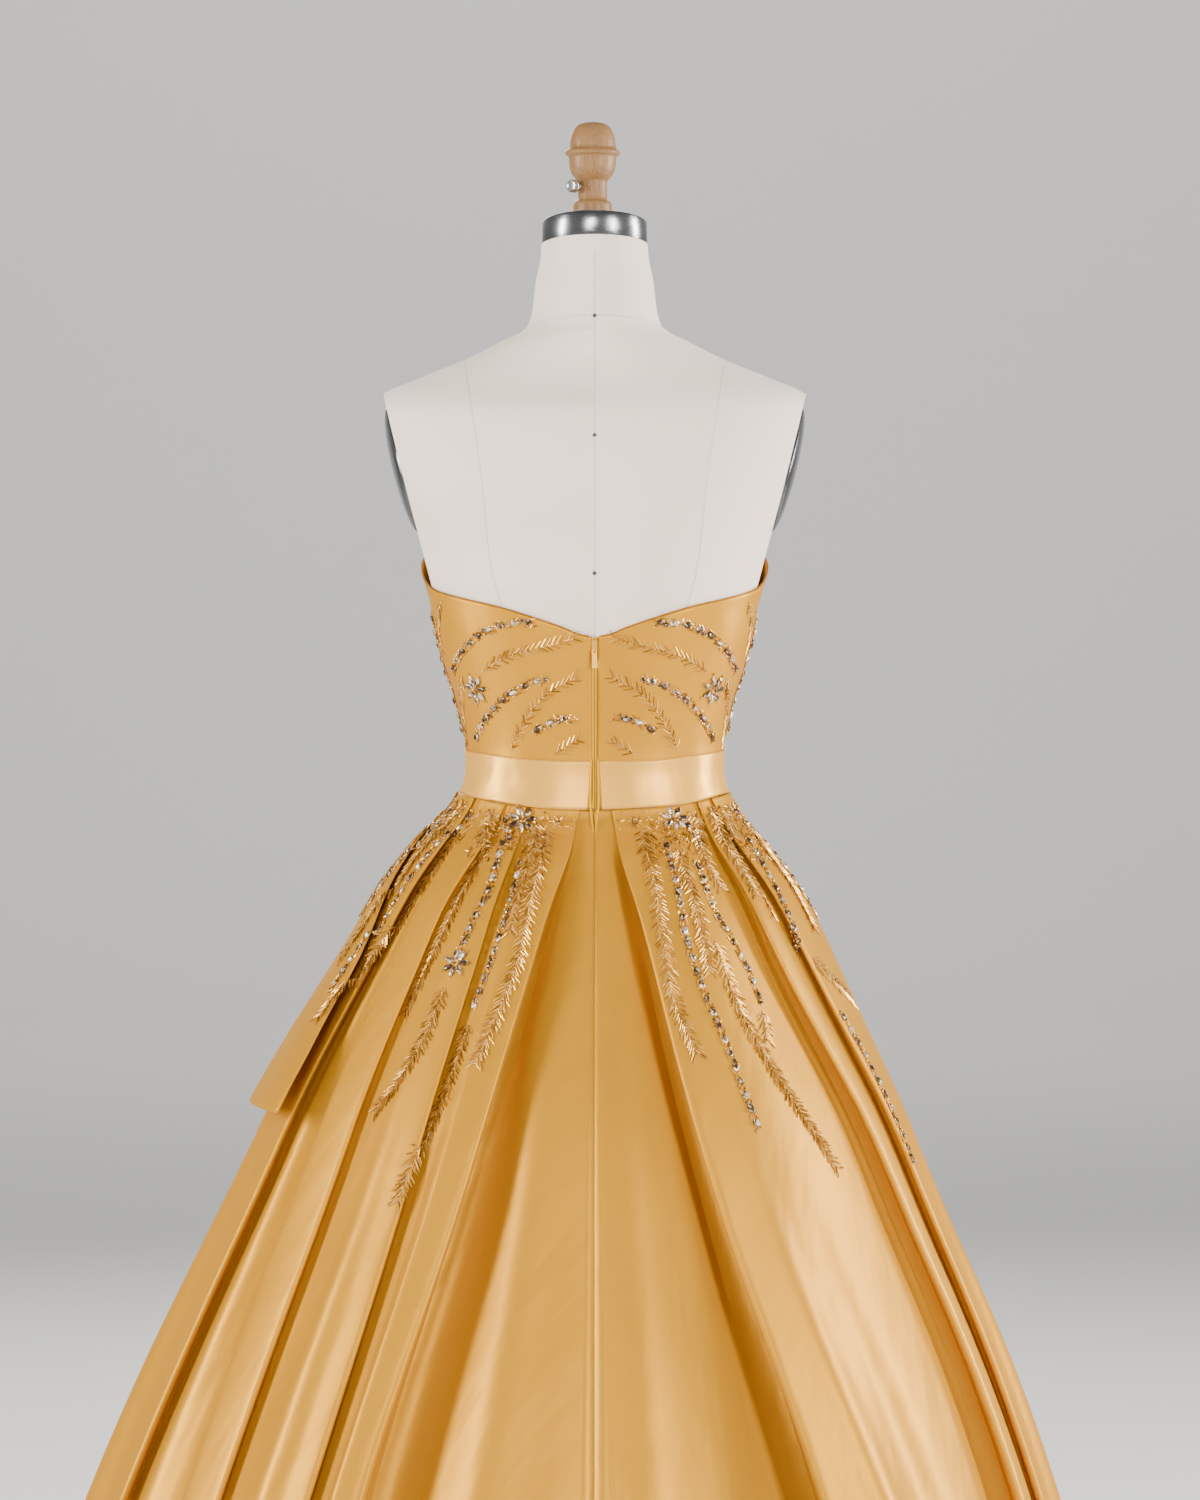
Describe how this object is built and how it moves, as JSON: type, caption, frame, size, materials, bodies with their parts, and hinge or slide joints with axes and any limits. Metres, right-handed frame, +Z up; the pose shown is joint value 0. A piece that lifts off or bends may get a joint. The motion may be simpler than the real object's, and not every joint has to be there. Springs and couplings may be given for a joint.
{
  "type": "evening gown on a dress form",
  "caption": "Strapless evening gown with a pleated full-length ball skirt, standing on a limbless linen dress form with a pole and a round base.",
  "frame": {"origin": "centre of the stand's round foot, on the floor, on the axis of the pole", "axes": "+Z up along the pole, -Y out of the gown's back, +X towards the wearer's right"},
  "size_m": [1.1362, 1.0264, 1.684],
  "materials": {
    "gold_satin": "smooth duchess satin with a soft sheen, golden yellow",
    "peach_ribbon": "shiny satin ribbon, pale peach gold",
    "beads": "glass bugle beads, seed beads and faceted stones, champagne and smoky",
    "zip_tape": "woven zip tape with its coil, yellow",
    "zip_metal": "painted metal, golden",
    "white_linen": "plain linen stretched over a firm torso",
    "brushed_steel": "brushed",
    "bright_steel": "polished",
    "turned_wood": "turned, with a satin varnish",
    "cast_iron": "black paint, satin"
  },
  "bodies": {
    "root": {"bodice_back_left": "gold_satin", "bodice_back_right": "gold_satin", "bodice_front": "gold_satin", "waistband": "peach_ribbon", "skirt_back_left": "gold_satin", "skirt_back_right": "gold_satin", "skirt_front_left": "gold_satin", "skirt_front_right": "gold_satin", "side_panel": "gold_satin", "zip_tape": "zip_tape", "zip_slider": "zip_metal", "form_torso": "white_linen", "arm_plate_left": "brushed_steel", "arm_plate_right": "brushed_steel", "neck_cap": "brushed_steel", "neck_finial": "turned_wood", "stand_pole": "brushed_steel", "stand_base": "cast_iron"},
    "zip_pull": {"zip_pull": "zip_metal"},
    "thumb_screw": {"thumb_screw": "bright_steel"}
  },
  "joints": [
    {"name": "zip_pull_hinge", "type": "hinge", "parent": "root", "child": "zip_pull", "pos_m": [0, -0.10939, 1.19203], "axis": [-1, 0, 0], "range_deg": [-12, 150]},
    {"name": "thumb_screw_turn", "type": "hinge", "parent": "root", "child": "thumb_screw", "pos_m": [-0.002, 0.008, 1.6233], "axis": [-0.8192, -0.5736, 0], "continuous": true}
  ]
}
